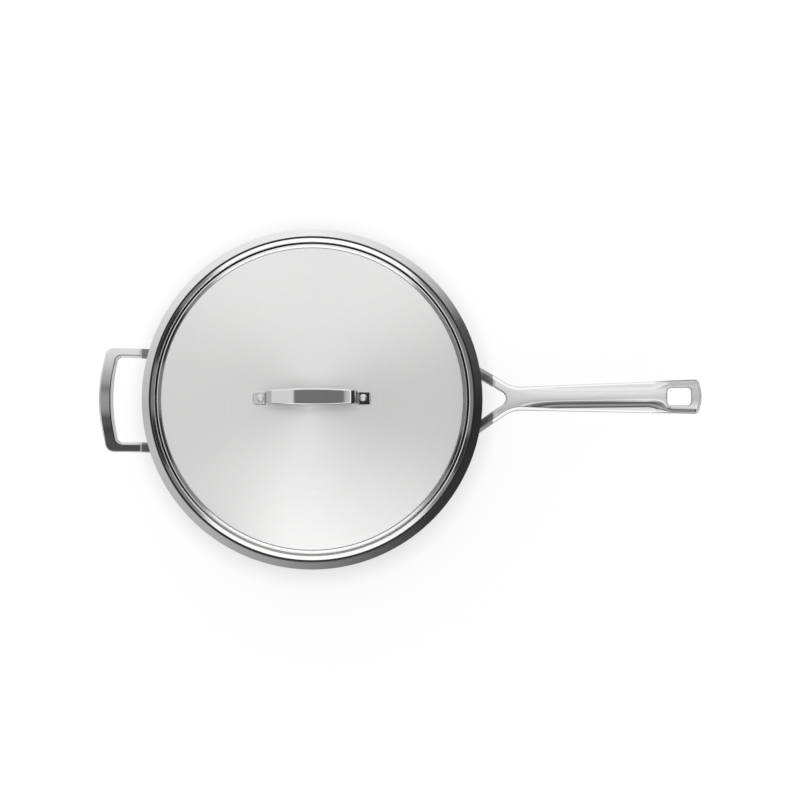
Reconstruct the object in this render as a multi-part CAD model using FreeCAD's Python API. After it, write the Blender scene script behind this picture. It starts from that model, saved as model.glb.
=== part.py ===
import FreeCAD, Part
import math
import os
from FreeCAD import Placement, Rotation, Vector

# Saute pan with a lid: a three-layer pan body, a forked long handle, a loop helper handle and a domed lid.
# Millimetres. The origin is the centre of the pan's underside, +Z is up and the long handle points along +X.

# Pan body, measured on its cooking surface
pan_inner_radius = 137.6
pan_height = 70.0
inner_skin_thickness = 0.5
core_thickness = 1.5
outer_skin_thickness = 0.5
base_corner_radius = 13.5
lip_bend_radius = 3.0
lip_droop_deg = 30.0
lip_overhang = 7.9

# Lid sheet
lid_thickness = 0.85
lid_edge_inset = 0.5
lid_seat_gap = 0.3
dome_edge_deg = 10.25
dome_step_deg = 50.0
fold_outer_radius = 1.0
fold_inner_radius = 0.35
lid_ring_width = 1.6
bead_wall_deg = 75.0
bead_wall_length = 1.1
bead_wall_gap = 0.6
flange_rise_deg = 4.0

# Lid handle, a strap bent into an arch on two feet
lid_rivet_spacing = 88.8
strap_thickness = 3.6
strap_edge_radius = 1.1
strap_foot_end = 6.5
strap_foot_inner = 3.6
strap_foot_bend = 4.4
strap_leg_deg = 86.0
strap_leg_length = 13.8
strap_shoulder_bend = 3.5
strap_arch_deg = 8.0
strap_grip_width = 15.2
strap_taper_deg = 2.8
strap_taper_radius = 400.0
strap_corner_radius = 2.2

# Long handle, with distances counted from the pan wall and heights from the rim
handle_length = 196.9
handle_end_width = 29.8
handle_end_slope_deg = 14.0
handle_end_radius = 30.0
handle_corner_radius = 4.0
handle_neck_distance = 34.3
handle_neck_width = 19.9
handle_neck_blend = 25.0
handle_thickness = 8.0
handle_crown_radius = 100.0
handle_edge_radius = 3.0
fork_depth = 27.9
fork_angle_deg = 33.0
fork_arm_width = 8.8
fork_crotch_radius = 6.5
handle_shoulder_distance = 17.9
handle_shoulder_drop = 0.2
handle_root_rise_deg = 40.0
handle_neck_rise_deg = 14.0
handle_tip_rise_deg = 2.0
handle_bend_radius = 26.0
hang_hole_length = 20.5
hang_hole_width = 15.0
hang_hole_corner_radius = 3.2
hang_hole_end_wall = 9.0
hang_hole_edge_radius = 1.2

# Helper handle, counted the same way
helper_reach = 44.7
helper_span = 90.0
helper_bar_width = 12.2
helper_arm_width = 8.4
helper_corner_radius = 7.0
helper_bow_deg = 12.0
helper_bow_radius = 136.0
helper_inner_corner_radius = 4.0
helper_inner_bow_deg = 10.0
helper_inner_bow_radius = 150.0
helper_thickness = 6.6
helper_crown_radius = 120.0
helper_edge_radius = 2.1
helper_shoulder_distance = 5.9
helper_shoulder_drop = 5.0
helper_root_rise_deg = 42.0
helper_bar_rise_deg = 15.0
helper_bend_radius = 26.0

# Feet of both handles on the pan wall, counted down from the rim
foot_thickness = 4.5
foot_corner_radius = 5.0
foot_edge_radius = 1.2
foot_seat_gap = 0.05
handle_foot_width = 27.0
handle_foot_top_drop = 22.0
handle_foot_bottom_drop = 44.0
handle_rivet_drop = 36.2
handle_rivet_spacing = 13.0
helper_foot_width = 15.0
helper_foot_top_drop = 24.0
helper_foot_bottom_drop = 47.0
helper_rivet_drop = 39.0

# Rivets
pan_rivet_radius = 2.9
pan_rivet_head_radius = 5.8
pan_rivet_head_height = 1.7
pan_rivet_tail_radius = 4.6
pan_rivet_tail_height = 1.8
lid_rivet_radius = 2.0
lid_rivet_head_radius = 3.6
lid_rivet_head_height = 1.1
lid_rivet_tail_radius = 3.25
lid_rivet_tail_height = 1.4
rivet_rim_share = 0.4
rivet_hole_gap = 0.05
rivet_seat_gap = 0.02

# Sizes that follow from the ones above
wall_thickness = inner_skin_thickness + core_thickness + outer_skin_thickness
pan_outer_radius = pan_inner_radius + wall_thickness
foot_face_radius = pan_outer_radius + foot_thickness
foot_middle_radius = pan_outer_radius + foot_thickness / 2
lip_crest_radius = pan_inner_radius + lip_bend_radius
lip_bend_height = pan_height - lip_bend_radius

origin = Vector(0, 0, 0)
up = Vector(0, 0, 1)
parts = {}


def sin_deg(angle):
    return math.sin(math.radians(angle))


def cos_deg(angle):
    return math.cos(math.radians(angle))


def tan_deg(angle):
    return math.tan(math.radians(angle))


def walk(start, heading, steps):
    """Follows lines and arcs in a plane. A step is (length,) or (radius, turn), and a left turn is positive.
    Returns the stations of each step, its ends and the middle of an arc, as (u, v, heading)."""
    u, v = start
    route = []
    for step in steps:
        if len(step) == 1:
            stations = [(u, v, heading)]
            u += step[0] * cos_deg(heading)
            v += step[0] * sin_deg(heading)
            stations.append((u, v, heading))
        else:
            radius, turn = step
            side = math.copysign(radius, turn)
            centre_u = u - side * sin_deg(heading)
            centre_v = v + side * cos_deg(heading)
            stations = []
            for share in (0.0, 0.5, 1.0):
                now = heading + turn * share
                stations.append((centre_u + side * sin_deg(now), centre_v - side * cos_deg(now), now))
            u, v, heading = stations[-1]
        route.append(stations)
    return route


def shifted_edges(route, shift):
    """The route's edges in the XZ plane, moved to the right of their direction by shift."""
    edges = []
    for stations in route:
        points = [Vector(u + shift * sin_deg(a), 0, v - shift * cos_deg(a)) for u, v, a in stations]
        if len(points) == 2:
            edges.append(Part.LineSegment(*points).toShape())
        else:
            edges.append(Part.Arc(*points).toShape())
    return edges


def end_point(edges, last):
    index = -1 if last else 0
    return edges[index].Vertexes[index].Point


def sheet_face(route, near, far, round_end=False):
    """The flat face between the route moved right by near and by far, with its last end square or rounded."""
    near_edges = shifted_edges(route, near)
    far_edges = shifted_edges(route, far)
    start_cap = Part.LineSegment(end_point(far_edges, False), end_point(near_edges, False)).toShape()
    near_end = end_point(near_edges, True)
    far_end = end_point(far_edges, True)
    if round_end:
        heading = route[-1][-1][2]
        bulge = Vector(cos_deg(heading), 0, sin_deg(heading)) * ((far - near) / 2)
        end_cap = Part.Arc(near_end, (near_end + far_end) / 2 + bulge, far_end).toShape()
    else:
        end_cap = Part.LineSegment(near_end, far_end).toShape()
    return Part.Face(Part.Wire(Part.__sortEdges__([start_cap, *near_edges, end_cap, *far_edges])))


def spun(face):
    return face.revolve(origin, up, 360)


def rounded_outline(corners):
    """A closed wire in the XY plane: straight runs with each corner (x, y, radius) rounded by a tangent arc."""
    points = [Vector(x, y, 0) for x, y, radius in corners]
    bends = []
    for i, (x, y, radius) in enumerate(corners):
        back = (points[i - 1] - points[i]).normalize()
        ahead = (points[(i + 1) % len(points)] - points[i]).normalize()
        half = back.getAngle(ahead) / 2
        reach = radius / math.tan(half)
        middle = points[i] + (back + ahead).normalize() * (radius / math.sin(half) - radius)
        bends.append((points[i] + back * reach, middle, points[i] + ahead * reach))
    edges = []
    for i, (first, middle, last) in enumerate(bends):
        if corners[i][2] > 0:
            edges.append(Part.Arc(first, middle, last).toShape())
        edges.append(Part.LineSegment(last, bends[(i + 1) % len(bends)][0]).toShape())
    return Part.Wire(edges)


def prism(wire, low, high):
    """The solid over a flat wire in the XY plane, from height low to height high."""
    face = Part.Face(wire)
    face.translate(Vector(0, 0, low))
    return face.extrude(Vector(0, 0, high - low))


def mirrored(corners):
    """The same corners on the other side of the X axis, in the order that closes an outline."""
    return [(x, -y, radius) for x, y, radius in reversed(corners)]


def peak_height(radius, slope_deg):
    """How far an arc of this radius lies below the point where its two sloping tangents meet."""
    return radius * (1 / cos_deg(slope_deg) - 1)


def arched_strap(route, half_width, crown_radius, thickness):
    """A strap of even thickness, crowned across its width, swept along the route of its top line."""
    u, v, heading = route[0][0]
    side = Vector(0, 1, 0)
    down = Vector(sin_deg(heading), 0, -cos_deg(heading))
    centre = Vector(u, 0, v) + down * crown_radius
    spread = math.asin(half_width / crown_radius)

    def rim(radius, angle):
        return centre + side * (radius * math.sin(angle)) - down * (radius * math.cos(angle))

    top = crown_radius
    low = crown_radius - thickness
    edges = [
        Part.Arc(rim(top, -spread), rim(top, 0), rim(top, spread)).toShape(),
        Part.LineSegment(rim(top, spread), rim(low, spread)).toShape(),
        Part.Arc(rim(low, spread), rim(low, 0), rim(low, -spread)).toShape(),
        Part.LineSegment(rim(low, -spread), rim(top, -spread)).toShape(),
    ]
    sweep = Part.BRepOffsetAPI.MakePipeShell(Part.Wire(shifted_edges(route, 0)))
    sweep.setBiNormalMode(side)
    sweep.add(Part.Wire(edges))
    sweep.build()
    sweep.makeSolid()
    return sweep.shape()


def is_upright(face):
    first, last, low, high = face.ParameterRange
    return abs(face.normalAt((first + last) / 2, (low + high) / 2).z) < 0.001


def softened(solid, radius, is_side):
    """The solid with a round edge wherever a side face meets a face that isn't one."""
    edges = []
    for edge in solid.Edges:
        faces = solid.ancestorsOfType(edge, Part.Face)
        if sum(is_upright(face) and is_side(face) for face in faces) == 1 and not any(map(is_root, faces)):
            edges.append(edge)
    return solid.makeFillet(radius, edges)


def is_root(face):
    """Whether a face closes a handle's arm inside the pan wall."""
    return face.BoundBox.XMax < pan_inner_radius and face.BoundBox.XLength < 0.01


def turned(shape, azimuth):
    copy = shape.copy()
    copy.rotate(origin, up, azimuth)
    return copy


def radial_hole(azimuth, height):
    """A cutter for a rivet hole through the pan wall and a handle foot, square to the wall."""
    start = pan_inner_radius - wall_thickness
    depth = foot_face_radius + wall_thickness - start
    radius = pan_rivet_radius + rivet_hole_gap
    return turned(Part.makeCylinder(radius, depth, Vector(start, 0, height), Vector(1, 0, 0)), azimuth)


def cap_arc(rim, rise, radius):
    """An arc from a round head's rim to its crown on the X axis. A head that faces -X has a negative rise."""
    ball = (radius ** 2 + rise ** 2) / (2 * rise)
    half = math.asin(radius / ball) / 2
    crown = Vector(rim + rise, 0, 0)
    middle = Vector(rim + rise - ball * (1 - math.cos(half)), 0, ball * math.sin(half))
    return Part.Arc(Vector(rim, 0, radius), middle, crown).toShape()


def rivet(shank_radius, grip, head_radius, head_height, tail_radius, tail_height):
    """A set rivet along +X: a domed head below zero, a shank as long as the grip, and a domed tail."""
    head_rim = -head_height * rivet_rim_share
    tail_rim = grip + tail_height * rivet_rim_share
    sides = [
        Vector(head_rim, 0, head_radius),
        Vector(0, 0, head_radius),
        Vector(0, 0, shank_radius),
        Vector(grip, 0, shank_radius),
        Vector(grip, 0, tail_radius),
        Vector(tail_rim, 0, tail_radius),
    ]
    edges = [cap_arc(head_rim, -head_height * (1 - rivet_rim_share), head_radius)]
    for start, end in zip(sides, sides[1:]):
        edges.append(Part.LineSegment(start, end).toShape())
    edges.append(cap_arc(tail_rim, tail_height * (1 - rivet_rim_share), tail_radius))
    edges.append(Part.LineSegment(Vector(-head_height, 0, 0), Vector(grip + tail_height, 0, 0)).toShape())
    return Part.Face(Part.Wire(Part.__sortEdges__(edges))).revolve(origin, Vector(1, 0, 0), 360)


def pan_rivet(azimuth, height):
    """A rivet through the wall and a foot. Its flat head meets the hollow wall along the head's own edge."""
    seat = math.sqrt(pan_inner_radius ** 2 - pan_rivet_head_radius ** 2) - rivet_seat_gap
    solid = rivet(
        pan_rivet_radius,
        foot_face_radius + rivet_seat_gap - seat,
        pan_rivet_head_radius,
        pan_rivet_head_height,
        pan_rivet_tail_radius,
        pan_rivet_tail_height,
    )
    solid.translate(Vector(seat, 0, height))
    return turned(solid, azimuth)


def handle_foot(azimuth, width, bottom, top):
    """A pad of even thickness bent round the pan wall. It starts inside the wall."""
    corners = [
        (bottom, -width / 2, foot_corner_radius),
        (top, -width / 2, foot_corner_radius),
        (top, width / 2, foot_corner_radius),
        (bottom, width / 2, foot_corner_radius),
    ]
    block = prism(rounded_outline(corners), 0, foot_face_radius + foot_thickness)
    block.Placement = Placement(origin, Rotation(Vector(0, 0, 1), Vector(0, -1, 0), Vector(1, 0, 0), "ZXY"))
    pad = block.common(Part.makeCylinder(foot_face_radius, pan_height))
    pad = pad.cut(Part.makeCylinder(pan_inner_radius, pan_height))
    outside = max(pad.Faces, key=lambda face: face.CenterOfMass.x)
    return turned(pad.makeFillet(foot_edge_radius, outside.Edges), azimuth)


def seated_on_wall(handle, feet, rivet_places):
    """Joins a handle to its feet, cuts them to the pan wall and drills them."""
    wall = Part.makeCylinder(pan_outer_radius + foot_seat_gap, pan_height)
    holes = [radial_hole(azimuth, height) for azimuth, height in rivet_places]
    return handle.fuse(feet).removeSplitter().cut([wall, *holes])


def long_handle_azimuth():
    """Where the middle line of a fork arm crosses the middle of its foot."""
    apex = fork_apex() + fork_arm_width / 2 / sin_deg(fork_angle_deg)
    along = apex * cos_deg(fork_angle_deg)
    along -= math.sqrt(foot_middle_radius ** 2 - (apex * sin_deg(fork_angle_deg)) ** 2)
    return math.degrees(math.atan2(along * sin_deg(fork_angle_deg), apex - along * cos_deg(fork_angle_deg)))


def fork_apex():
    """Where the inner edges of the fork would meet if its crotch were sharp."""
    return pan_outer_radius + fork_depth + fork_crotch_radius * (1 / sin_deg(fork_angle_deg) - 1)


def helper_azimuth():
    return math.degrees(math.asin((helper_span - helper_arm_width) / 2 / foot_middle_radius))


def build_pan(rivet_places):
    """Three bonded sheets spun to one shape, with holes for the rivets of both handles."""
    lip_reach = lip_overhang + wall_thickness - lip_bend_radius * (1 + sin_deg(lip_droop_deg))
    route = walk((0, wall_thickness), 0, [
        (pan_inner_radius - base_corner_radius,),
        (base_corner_radius, 90),
        (lip_bend_height - wall_thickness - base_corner_radius,),
        (lip_bend_radius, -90 - lip_droop_deg),
        (lip_reach / cos_deg(lip_droop_deg),),
    ])
    holes = [radial_hole(azimuth, height) for azimuth, height in rivet_places]
    depth = 0
    for name, thickness in (
        ("pan_inner_skin", inner_skin_thickness),
        ("pan_aluminium_core", core_thickness),
        ("pan_outer_skin", outer_skin_thickness),
    ):
        parts[name] = spun(sheet_face(route, depth, depth + thickness)).cut(holes)
        depth += thickness


def build_lid():
    """One pressed sheet: a dome, a fine step, a ring, a groove that centres the lid, and a flange."""
    rim = [
        (fold_outer_radius, dome_edge_deg - dome_step_deg),
        (fold_inner_radius, dome_step_deg),
        (lid_ring_width,),
        (fold_outer_radius, -bead_wall_deg),
        (bead_wall_length,),
        (fold_inner_radius, 2 * bead_wall_deg),
    ]
    bead_side = walk((0, 0), -dome_edge_deg, rim)[-1][-1][0] + lid_thickness * sin_deg(bead_wall_deg)
    dome_radius = pan_inner_radius - bead_wall_gap - bead_side
    ball_radius = dome_radius / sin_deg(dome_edge_deg)
    rim = [(ball_radius, -dome_edge_deg), *rim]
    rim += [(bead_wall_length,), (fold_outer_radius, flange_rise_deg - bead_wall_deg)]
    flange_start = walk((0, 0), 0, rim)[-1][-1][0]
    edge_radius = lid_thickness / 2
    edge_centre = lip_crest_radius - lid_edge_inset - edge_radius
    rim.append(((edge_centre - flange_start) / cos_deg(flange_rise_deg),))
    seat_reach = lip_bend_radius + lid_seat_gap + edge_radius
    edge_height = lip_bend_height + math.sqrt(seat_reach ** 2 - (lip_crest_radius - edge_centre) ** 2)
    top = edge_height + edge_radius * cos_deg(flange_rise_deg) - walk((0, 0), 0, rim)[-1][-1][1]
    sheet = spun(sheet_face(walk((0, top), 0, rim), 0, lid_thickness, round_end=True))

    slope = math.degrees(math.asin(lid_rivet_spacing / 2 / ball_radius))
    seat_height = top - ball_radius * (1 - cos_deg(slope))
    build_lid_handle(seat_height, slope)
    holes = []
    for side, name in ((-1, "left"), (1, "right")):
        seat = Vector(side * lid_rivet_spacing / 2, 0, seat_height)
        tilt = Placement(seat, Rotation(Vector(0, 1, 0), side * slope - 90))
        hole_length = 2 * (lid_thickness + strap_thickness)
        hole = Part.makeCylinder(
            lid_rivet_radius + rivet_hole_gap, 2 * hole_length, Vector(-hole_length, 0, 0), Vector(1, 0, 0)
        )
        hole.Placement = tilt
        holes.append(hole)
        under = lid_thickness + rivet_seat_gap
        pin = rivet(
            lid_rivet_radius,
            under + strap_thickness + foot_seat_gap + rivet_seat_gap,
            lid_rivet_head_radius,
            lid_rivet_head_height,
            lid_rivet_tail_radius,
            lid_rivet_tail_height,
        )
        pin.Placement = tilt.multiply(Placement(Vector(-under, 0, 0), Rotation()))
        parts["lid_rivet_" + name] = pin
    parts["lid_sheet"] = sheet.cut(holes)
    parts["lid_handle"] = parts["lid_handle"].cut(holes)


def build_lid_handle(seat_height, slope):
    """A bent strap of even thickness, widest at the middle of its grip."""
    foot_x = lid_rivet_spacing / 2
    start = (
        -foot_x - strap_foot_end * cos_deg(slope) - foot_seat_gap * sin_deg(slope),
        seat_height - strap_foot_end * sin_deg(slope) + foot_seat_gap * cos_deg(slope),
    )
    half = [
        (strap_foot_end + strap_foot_inner,),
        (strap_foot_bend, strap_leg_deg - slope),
        (strap_leg_length,),
        (strap_shoulder_bend, strap_arch_deg - strap_leg_deg),
    ]
    arch_radius = -walk(start, slope, half)[-1][-1][0] / sin_deg(strap_arch_deg)
    route = walk(start, slope, [*half, (arch_radius, -2 * strap_arch_deg), *reversed(half)])
    band = sheet_face(route, -strap_thickness, 0)
    band.translate(Vector(0, -strap_grip_width, 0))
    band = band.extrude(Vector(0, 2 * strap_grip_width, 0))
    peak = strap_grip_width / 2 + peak_height(strap_taper_radius, strap_taper_deg)
    end_x = -start[0]
    end_y = peak - end_x * tan_deg(strap_taper_deg)
    corners = [
        (-end_x, end_y, strap_corner_radius),
        (0, peak, strap_taper_radius),
        (end_x, end_y, strap_corner_radius),
    ]
    outline = prism(rounded_outline(corners + mirrored(corners)), 0, 3 * pan_height)
    strap = band.common(outline)
    parts["lid_handle"] = softened(strap, strap_edge_radius, lambda face: True)


def build_long_handle():
    """A crowned bar with a forked root, cut from a swept strap by its outline seen from above."""
    tip = pan_outer_radius + handle_length
    root_x = pan_outer_radius - fork_arm_width
    inner_y = (fork_apex() - root_x) * tan_deg(fork_angle_deg)
    outer_y = inner_y + fork_arm_width / cos_deg(fork_angle_deg)
    end_peak = tip + peak_height(handle_end_radius, handle_end_slope_deg)
    end_x = end_peak - handle_end_width / 2 * tan_deg(handle_end_slope_deg)
    side = [
        (root_x, inner_y, 0),
        (root_x, outer_y, 0),
        (pan_outer_radius + handle_neck_distance, handle_neck_width / 2, handle_neck_blend),
        (end_x, handle_end_width / 2, handle_corner_radius),
    ]
    tip_corner = (end_peak, 0, handle_end_radius)
    crotch = (fork_apex(), 0, fork_crotch_radius)
    outline = prism(rounded_outline([*side, tip_corner, *mirrored(side), crotch]), 0, 3 * pan_height)

    bend = handle_root_rise_deg - handle_neck_rise_deg
    bend_reach = handle_bend_radius * tan_deg(bend / 2)
    shoulder_x = pan_outer_radius + handle_shoulder_distance
    start_x = root_x - 3 * fork_arm_width
    root_run = (shoulder_x - start_x) / cos_deg(handle_root_rise_deg)
    start_z = pan_height - handle_shoulder_drop - root_run * sin_deg(handle_root_rise_deg)
    grip_start = shoulder_x + bend_reach * cos_deg(handle_neck_rise_deg)
    grip_run = end_peak + handle_end_radius / 10 - grip_start
    grip_radius = grip_run / (sin_deg(handle_neck_rise_deg) - sin_deg(handle_tip_rise_deg))
    route = walk((start_x, start_z), handle_root_rise_deg, [
        (root_run - bend_reach,),
        (handle_bend_radius, -bend),
        (grip_radius, handle_tip_rise_deg - handle_neck_rise_deg),
    ])
    strap = arched_strap(route, outer_y + fork_arm_width, handle_crown_radius, handle_thickness)
    body = softened(strap.common(outline), handle_edge_radius, lambda face: True)

    hole_end = tip - hang_hole_end_wall
    hole_side = [
        (hole_end - hang_hole_length, hang_hole_width / 2, hang_hole_corner_radius),
        (hole_end, hang_hole_width / 2, hang_hole_corner_radius),
    ]
    hole = prism(rounded_outline(hole_side + mirrored(hole_side)), 0, 3 * pan_height)
    in_hole = lambda face: hole.BoundBox.isInside(face.CenterOfMass)
    body = softened(body.cut(hole), hang_hole_edge_radius, in_hole)
    azimuth = long_handle_azimuth()
    spread = math.degrees(handle_rivet_spacing / 2 / foot_middle_radius)
    bottom = pan_height - handle_foot_bottom_drop
    top = pan_height - handle_foot_top_drop
    feet = [handle_foot(side * azimuth, handle_foot_width, bottom, top) for side in (1, -1)]
    places = []
    for side in (1, -1):
        for step in (-spread, spread):
            places.append((side * azimuth + step, pan_height - handle_rivet_drop))
    parts["long_handle"] = seated_on_wall(body, feet, places)
    return places


def build_helper_handle():
    """A loop of two arms and a bowed bar, built along +X and turned to face -X."""
    reach = pan_outer_radius + helper_reach
    root_x = pan_outer_radius - 2 * helper_arm_width
    outer_y = helper_span / 2
    inner_y = outer_y - helper_arm_width
    peak = reach + peak_height(helper_bow_radius, helper_bow_deg)
    inner_peak = reach - helper_bar_width + peak_height(helper_inner_bow_radius, helper_inner_bow_deg)
    outer_side = [
        (root_x, outer_y, 0),
        (peak - outer_y * tan_deg(helper_bow_deg), outer_y, helper_corner_radius),
    ]
    inner_side = [
        (inner_peak - inner_y * tan_deg(helper_inner_bow_deg), inner_y, helper_inner_corner_radius),
        (root_x, inner_y, 0),
    ]
    outer_tip = (peak, 0, helper_bow_radius)
    inner_tip = (inner_peak, 0, helper_inner_bow_radius)
    corners = [*outer_side, outer_tip, *mirrored(outer_side), *mirrored(inner_side), inner_tip, *inner_side]
    outline = prism(rounded_outline(corners), 0, 3 * pan_height)

    bend = helper_root_rise_deg - helper_bar_rise_deg
    bend_reach = helper_bend_radius * tan_deg(bend / 2)
    shoulder_x = pan_outer_radius + helper_shoulder_distance
    start_x = root_x - 2 * helper_arm_width
    root_run = (shoulder_x - start_x) / cos_deg(helper_root_rise_deg)
    start_z = pan_height - helper_shoulder_drop - root_run * sin_deg(helper_root_rise_deg)
    bar_run = (peak + helper_bar_width - shoulder_x) / cos_deg(helper_bar_rise_deg)
    route = walk((start_x, start_z), helper_root_rise_deg, [
        (root_run - bend_reach,),
        (helper_bend_radius, -bend),
        (bar_run - bend_reach,),
    ])
    strap = arched_strap(route, outer_y + helper_arm_width, helper_crown_radius, helper_thickness)
    body = softened(strap.common(outline), helper_edge_radius, lambda face: True)
    azimuth = helper_azimuth()
    bottom = pan_height - helper_foot_bottom_drop
    top = pan_height - helper_foot_top_drop
    feet = [handle_foot(side * azimuth, helper_foot_width, bottom, top) for side in (1, -1)]
    places = [(side * azimuth, pan_height - helper_rivet_drop) for side in (1, -1)]
    parts["helper_handle"] = turned(seated_on_wall(body, feet, places), 180)
    return [(180 + azimuth, height) for azimuth, height in places]


handle_places = build_long_handle()
helper_places = build_helper_handle()
build_pan(handle_places + helper_places)
build_lid()
for number, (azimuth, height) in enumerate(handle_places, 1):
    parts[f"long_handle_rivet_{number}"] = pan_rivet(azimuth, height)
for number, (azimuth, height) in enumerate(helper_places, 1):
    parts[f"helper_handle_rivet_{number}"] = pan_rivet(azimuth, height)

os.makedirs("parts", exist_ok=True)
for name, shape in parts.items():
    solid = shape.Solids[0]
    solid.exportStep(f"parts/{name}.step")
    print(name, len(shape.Solids), solid.isValid(), round(solid.Volume), solid.BoundBox)
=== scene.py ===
from math import acos, asin, atan2, ceil, copysign, cos, degrees, pi, radians, sin, sqrt, tan

import bmesh
import bpy
import numpy as np
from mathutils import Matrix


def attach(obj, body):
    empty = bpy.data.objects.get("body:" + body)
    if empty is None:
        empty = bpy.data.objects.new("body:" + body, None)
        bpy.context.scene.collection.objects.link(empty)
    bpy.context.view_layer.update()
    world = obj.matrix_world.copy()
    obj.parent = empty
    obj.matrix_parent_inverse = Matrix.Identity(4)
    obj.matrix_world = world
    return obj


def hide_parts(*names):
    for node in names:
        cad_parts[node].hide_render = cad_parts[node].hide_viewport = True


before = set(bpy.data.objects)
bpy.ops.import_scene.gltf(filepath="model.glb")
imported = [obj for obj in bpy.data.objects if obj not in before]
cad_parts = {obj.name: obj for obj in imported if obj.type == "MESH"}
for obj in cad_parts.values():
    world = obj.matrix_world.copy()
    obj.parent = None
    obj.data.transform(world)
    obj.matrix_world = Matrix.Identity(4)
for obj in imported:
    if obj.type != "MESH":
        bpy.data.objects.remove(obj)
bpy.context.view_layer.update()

mm = 0.001  # pieces are worked out in millimetres and written in metres
print("frame loaded:", len(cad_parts), "nodes")


# Shader maths: a wire wraps one socket, and arithmetic on it adds Math nodes.
class Wire:
    def __init__(self, tree, socket=None):
        self.tree = tree
        self.socket = socket

    # Any node: its settings first, then the values or wires of its sockets, and one output comes back.
    def make(self, kind, settings, sockets, output=0):
        node = self.tree.nodes.new(kind)
        for key, value in settings.items():
            if key == "stops":
                while len(node.color_ramp.elements) < len(value):
                    node.color_ramp.elements.new(0.5)
                for element, (place, shade) in zip(node.color_ramp.elements, value):
                    element.position = place
                    element.color = (shade, shade, shade, 1)
            else:
                setattr(node, key, value)
        for key, value in sockets.items():
            if isinstance(value, Wire):
                self.tree.links.new(value.socket, node.inputs[key])
            else:
                node.inputs[key].default_value = value
        return Wire(self.tree, node.outputs[output])

    def math(self, operation, first, second=0.0):
        return self.make("ShaderNodeMath", {"operation": operation}, {0: first, 1: second})

    def __add__(self, other):
        return self.math("ADD", self, other)

    def __radd__(self, other):
        return self.math("ADD", other, self)

    def __sub__(self, other):
        return self.math("SUBTRACT", self, other)

    def __rsub__(self, other):
        return self.math("SUBTRACT", other, self)

    def __mul__(self, other):
        return self.math("MULTIPLY", self, other)

    def __truediv__(self, other):
        return self.math("DIVIDE", self, other)

    def __pow__(self, other):
        return self.math("POWER", self, other)

    # 0 below low, 1 above high, smooth between
    def step(self, low, high):
        sockets = {"Value": self, "From Min": low, "From Max": high}
        return self.make("ShaderNodeMapRange", {"interpolation_type": "SMOOTHSTEP"}, sockets)

    # 1 between low and high, 0 outside, both borders softened by the blur
    def band(self, low, high, blur):
        return self.step(low - blur, low + blur) * (1.0 - self.step(high - blur, high + blur))

    def xyz(self):
        return [self.make("ShaderNodeSeparateXYZ", {}, {0: self}, part) for part in range(3)]

    def joined(self, x, y, z):
        return self.make("ShaderNodeCombineXYZ", {}, {0: x, 1: y, 2: z})

    def noise(self, vector, scale, detail=2.0, rough=0.5):
        sockets = {"Vector": vector, "Scale": scale, "Detail": detail, "Roughness": rough}
        return self.make("ShaderNodeTexNoise", {}, sockets)

    # From one colour, fixed or a wire, to another fixed colour
    def tint(self, share, first, second):
        start = first if isinstance(first, Wire) else (*first, 1)
        return self.make("ShaderNodeMix", {"data_type": "RGBA"}, {0: share, 6: start, 7: (*second, 1)}, 2)


# A metal: a Principled shader whose fixed numbers sit on its own sockets; look(wire, place) gives what varies.
def metal(name, look, anisotropy=0.0):
    material = bpy.data.materials.new(name)
    material.use_nodes = True
    tree = material.node_tree
    shader = tree.nodes["Principled BSDF"]
    shader.inputs["Metallic"].default_value = 1.0
    shader.inputs["Anisotropic"].default_value = anisotropy
    shader.inputs["Anisotropic Rotation"].default_value = 0.25  # along the rings
    wire = Wire(tree)
    place = wire.make("ShaderNodeTexCoord", {}, {}, "Object")
    for key, value in look(wire, place).items():
        tree.links.new(value.socket, shader.inputs[key])
    return material


brushing = {"detail": 3.0, "rough": 0.6, "strength": 0.05, "depth": 0.00003}  # noise and bump, depth in metres


# Rings of brushing about the Z axis: noise that runs fast along one measure and drifts slowly on its way round.
def brushedRings(wire, place, measure, drift):
    x, y = place.xyz()[:2]
    return wire.noise(wire.joined(measure, x * drift, y * drift), 1.0, brushing["detail"], brushing["rough"])


# Fine relief of a given height.
def bumped(wire, height, strength=brushing["strength"], depth=brushing["depth"]):
    return wire.make("ShaderNodeBump", {}, {"Strength": strength, "Distance": depth, "Height": height})


satinLook = {
    # shades of the steel, and the dark colour of the painted shade in the groove, on the step and at the edge
    "shades": ((0.76, 0.76, 0.755), (0.87, 0.87, 0.865)), "creviceShade": (0.03, 0.03, 0.03),
    "satin": 0.342, "satinWear": 0.14, "polish": 0.035, "polishWear": 0.03, "polishTone": 0.8,
    "creviceRough": 0.4, "lineScale": 2600.0, "drift": 6.0, "cloudScale": 14.0, "cloudShare": 0.3,
    "dome": (130.75, 131.35),  # mm, where satin turns into polish
    "stepLine": (131.0, 131.8),  # mm, the fine step round the dome, painted with a line of shade
    "groove": (134.9, 136.3),  # mm, the groove between the rings, painted dark as shade
    "lit": (0.45, 0.9),  # share of the way round to -Y where light falls into that crevice
    "edge": (139.8, 140.1),  # mm, where the flange turns down to its edge, painted dark as shade
    "stepShare": 0.6, "litShare": 0.65, "blur": 0.15,
}
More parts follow.
